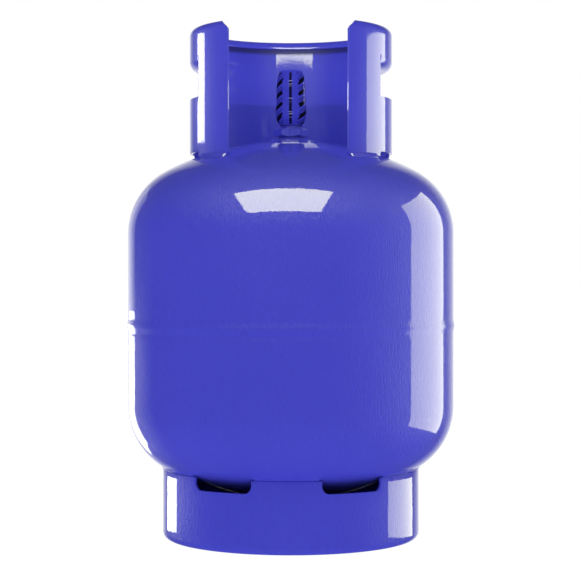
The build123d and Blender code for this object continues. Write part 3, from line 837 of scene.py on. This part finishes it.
def spring(name, mean_r, wire_r, low, high, active, replaced):
    """Compression spring with a closed, ground coil at each end."""
    verts, faces = [], []
    per_turn, ring_n = 40, 12
    dead = 1.0
    total = active + 2 * dead
    flat = 2 * wire_r * 1.02
    travel = high - low - 2 * wire_r
    steps = int(total * per_turn)
    for k in range(steps + 1):
        turn = total * k / steps
        if turn < dead:
            z = flat * 0.92 * turn
        elif turn > total - dead:
            z = travel - flat * 0.92 * (total - turn)
        else:
            z = flat * 0.92 * dead + (travel - 2 * flat * 0.92 * dead) * (turn - dead) / active
        theta = 360.0 * turn
        for m in range(ring_n):
            a = 2 * math.pi * m / ring_n
            zz = low + wire_r + z + wire_r * math.sin(a)
            zz = min(max(zz, low), high)
            verts.append(spin(mean_r + wire_r * math.cos(a), zz, theta))
    for k in range(steps):
        for m in range(ring_n):
            n = (m + 1) % ring_n
            faces.append((k * ring_n + m, (k + 1) * ring_n + m, (k + 1) * ring_n + n, k * ring_n + n))
    faces.append(tuple(range(ring_n)))
    faces.append(tuple(reversed(range(steps * ring_n, (steps + 1) * ring_n))))
    obj = make_object(name, verts, faces, STEEL, "vessel", replaced)
    outward(obj)
    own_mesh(obj)
    return obj


def springs():
    spring("poppet_coil", 6.0, 0.65, 361.0, 374.0, 3.5,
           ["poppet_spring"])
    spring("relief_coil", 6.5, 1.0, 388.0, 404.0, 3.0,
           ["relief_spring"])


# ------------------------------------------------------- carried-over pieces
def carried():
    """CAD nodes whose shape is already right: rounded edges and their own finish."""
    finish = {
        "valve_boss": (PAINT, 0.4), "valve_body": (PAINT, 0.25), "outlet_gasket": (RUBBER, 0.15),
        "poppet": (BRASS, 0.15), "poppet_pad": (RUBBER, 0.15), "spring_retainer": (BRASS, 0.15),
        "relief_piston": (BRASS, 0.12), "relief_seal": (RUBBER, 0.1), "relief_nut": (BRASS, 0.15),
        "protective_cap": (CAP_PLASTIC, 0.2),
    }
    for name, (mat, width) in finish.items():
        obj = NODES[name]
        obj.data.materials.clear()
        obj.data.materials.append(mat)
        bevel(obj, width, 2, 30)


shells()
seam()
foot_hoop = foot()
collar_sheet = collar()
welds()
sleeve()
springs()
carried()


# ------------------------------------------------------------ floor and light
WARM, WARM_SIDE, WHITE = (1.0, 1.0, 0.60), (1.0, 1.0, 0.68), (1.0, 1.0, 1.0)
TENT_STRENGTH, TENT_ANGLE = 0.765, math.radians(50)


def flat_piece(name, verts, mat):
    mesh = bpy.data.meshes.new(name)
    mesh.from_pydata(verts, [], [tuple(range(len(verts)))])
    mesh.materials.append(mat)
    obj = bpy.data.objects.new(name, mesh)
    bpy.context.scene.collection.objects.link(obj)
    return obj


def floor():
    """A pale floor that shows white, and under the foot ring a near-black patch: painted shade where the
    ring shuts off light.
    """
    mat, nodes, links, bsdf = material("pale_floor")
    bsdf.inputs["Base Color"].default_value = (0.05, 0.05, 0.05, 1)
    bsdf.inputs["Roughness"].default_value = 0.9
    bsdf.inputs["Specular IOR Level"].default_value = 0.0
    bsdf.inputs["Emission Color"].default_value = (1, 1, 1, 1)
    bsdf.inputs["Emission Strength"].default_value = 1.0
    size = 40.0
    sheet_piece = flat_piece("floor", [(-size, -size, 0), (size, -size, 0), (size, size, 0),
                                       (-size, size, 0)], mat)
    sheet_piece.visible_glossy = False
    sheet_piece.visible_shadow = False
    dark, nodes, links, bsdf = material("painted_shade_floor")
    bsdf.inputs["Base Color"].default_value = (0.01, 0.01, 0.01, 1)
    bsdf.inputs["Roughness"].default_value = 1.0
    bsdf.inputs["Specular IOR Level"].default_value = 0.0
    # painted shade: a near-black disc, which also casts the shadow that the floor does not
    radius, count = 111.0, 72
    patch = flat_piece("shut_in_patch", [spin(radius, 0.2, 360.0 * k / count) for k in range(count)],
                       dark)


def world():
    """White surroundings for the camera, a weak even fill, and a dim room in reflections."""
    w = bpy.data.worlds.new("studio")
    bpy.context.scene.world = w
    w.use_nodes = True
    w.cycles.sampling_method = "NONE"      # so the collar, which casts no shadow, still hides it
    nodes, links = w.node_tree.nodes, w.node_tree.links
    nodes.clear()
    out = nodes.new("ShaderNodeOutputWorld")
    path = nodes.new("ShaderNodeLightPath")
    at = nodes.new("ShaderNodeTexCoord").outputs["Generated"]
    split = nodes.new("ShaderNodeSeparateXYZ")
    links.new(at, split.inputs[0])
    behind = remap(nodes, links, split.outputs["Y"], 0.80, 0.97, 0.05, 1.0)
    room = nodes.new("ShaderNodeBackground")
    links.new(behind, room.inputs["Strength"])
    fill = nodes.new("ShaderNodeBackground")
    fill.inputs["Strength"].default_value = 0.17
    white = nodes.new("ShaderNodeBackground")
    white.inputs["Strength"].default_value = 1.0
    for node in (room, fill, white):
        node.inputs["Color"].default_value = (1, 1, 1, 1)
    mix_a = nodes.new("ShaderNodeMixShader")
    links.new(path.outputs["Is Glossy Ray"], mix_a.inputs["Fac"])
    links.new(fill.outputs[0], mix_a.inputs[1])
    links.new(room.outputs[0], mix_a.inputs[2])
    mix_b = nodes.new("ShaderNodeMixShader")
    links.new(path.outputs["Is Camera Ray"], mix_b.inputs["Fac"])
    links.new(mix_a.outputs[0], mix_b.inputs[1])
    links.new(white.outputs[0], mix_b.inputs[2])
    links.new(mix_b.outputs[0], out.inputs["Surface"])


def softbox(name, centre, facing, size, radiance, colour=WHITE, receivers=()):
    """Rectangular softbox. radiance is that of its face; size is (width, height) in metres."""
    light = bpy.data.lights.new(name, "AREA")
    light.shape = "RECTANGLE"
    light.size, light.size_y = size
    light.energy = radiance * math.pi * size[0] * size[1]
    light.color = colour
    obj = bpy.data.objects.new(name, light)
    bpy.context.scene.collection.objects.link(obj)
    obj.location = centre
    obj.rotation_euler = Vector(facing).to_track_quat("-Z", "Y").to_euler()
    obj.visible_camera = False
    obj.visible_diffuse = False
    if receivers:
        group = bpy.data.collections.new(name + "_on")
        for piece in receivers:
            group.objects.link(piece)
        obj.light_linking.receiver_collection = group
    return obj


def upright(name, centre_xy, facing_xy, width, low, high, radiance, colour, receivers):
    """Standing softbox between two heights."""
    return softbox(name, (*centre_xy, (low + high) / 2), (*facing_xy, 0.0), (width, high - low),
                   radiance, colour, receivers)


def even_light():
    """Soft suns from all round, the twelve corners of an icosahedron, in place of a light tent."""
    golden = (1 + math.sqrt(5)) / 2
    corners = []
    for a in (-1, 1):
        for b in (-golden, golden):
            corners += [(0, a, b), (a, b, 0), (b, 0, a)]
    for k, corner in enumerate(corners):
        sun = bpy.data.lights.new("tent_%d" % k, "SUN")
        sun.energy = TENT_STRENGTH
        sun.angle = TENT_ANGLE
        obj = bpy.data.objects.new("tent_%d" % k, sun)
        bpy.context.scene.collection.objects.link(obj)
        obj.rotation_euler = Vector(corner).to_track_quat("-Z", "Y").to_euler()
        obj.visible_glossy = False


def collar_fill(receivers):
    """Two small lights inside the collar, for its inner face alone, which the vessel shades."""
    for k, (height, power) in enumerate(((0.385, 0.150), (0.455, 0.085))):
        light = bpy.data.lights.new("collar_fill_%d" % k, "POINT")
        light.energy = power
        obj = bpy.data.objects.new("collar_fill_%d" % k, light)
        bpy.context.scene.collection.objects.link(obj)
        obj.location = (0.0, 0.0, height)
        obj.visible_glossy = False
        obj.visible_camera = False
        group = bpy.data.collections.new("collar_fill_%d_on" % k)
        for piece in receivers:
            group.objects.link(piece)
        obj.light_linking.receiver_collection = group


def lights():
    on_collar = [collar_sheet]
    on_foot = [foot_hoop]
    rest = [o for o in bpy.data.objects
            if o.type == "MESH" and o not in (collar_sheet, foot_hoop)]
    collar_fill(on_collar)
    softbox("key", (-0.033, -0.444, 0.640), (0, 0.486, -0.874), (0.505, 0.33), 13.2, WARM)
    upright("right_body", (0.4975, 0.071), (-0.9, -0.438), 0.340, -0.03, 0.57, 4.4, WARM_SIDE, rest)
    upright("right_collar", (0.4853, 0.1398), (-0.87, -0.493), 0.342, 0.30, 0.545, 4.4, WARM_SIDE,
            on_collar)
    upright("right_foot", (0.467, 0.127), (-0.8155, -0.579), 0.349, -0.06, 0.02, 4.4, WARM_SIDE,
            on_foot)
    upright("left_body", (-0.397, 0.3775), (0.623, -0.781), 0.158, -0.10, 0.21, 5.0, WHITE, rest)
    upright("left_body_high", (-0.397, 0.3775), (0.623, -0.781), 0.158, 0.21, 0.50, 0.45, WHITE, rest)
    upright("left_collar", (-0.5065, 0.2034), (0.896, -0.444), 0.1575, 0.417, 0.552, 9.0, WHITE,
            on_collar)
    upright("left_foot", (-0.472, 0.276), (0.806, -0.591), 0.204, -0.06, 0.012, 9.0, WHITE, on_foot)


def camera():
    cam = bpy.data.cameras.new("camera")
    cam.sensor_width = 36.0
    cam.lens = 108.0
    obj = bpy.data.objects.new("camera", cam)
    bpy.context.scene.collection.objects.link(obj)
    azimuth, distance, height, pitch = math.radians(1.9), 1.691, 0.2522, math.radians(-0.43)
    shift = 0.0009       # metres the camera stands to the left of the cylinder's axis
    obj.location = (distance * math.sin(azimuth) - shift * math.cos(azimuth),
                    -distance * math.cos(azimuth) - shift * math.sin(azimuth), height)
    look = Vector((-math.sin(azimuth) * math.cos(pitch), math.cos(azimuth) * math.cos(pitch),
                   math.sin(pitch)))
    obj.rotation_euler = look.to_track_quat("-Z", "Y").to_euler()
    bpy.context.scene.camera = obj


collar_sheet.visible_shadow = False      # so its inside is lit as evenly as its outside
floor()
world()
even_light()
lights()
camera()
view = bpy.context.scene.view_settings
view.view_transform, view.look = "Standard", "None"

bpy.context.view_layer.update()
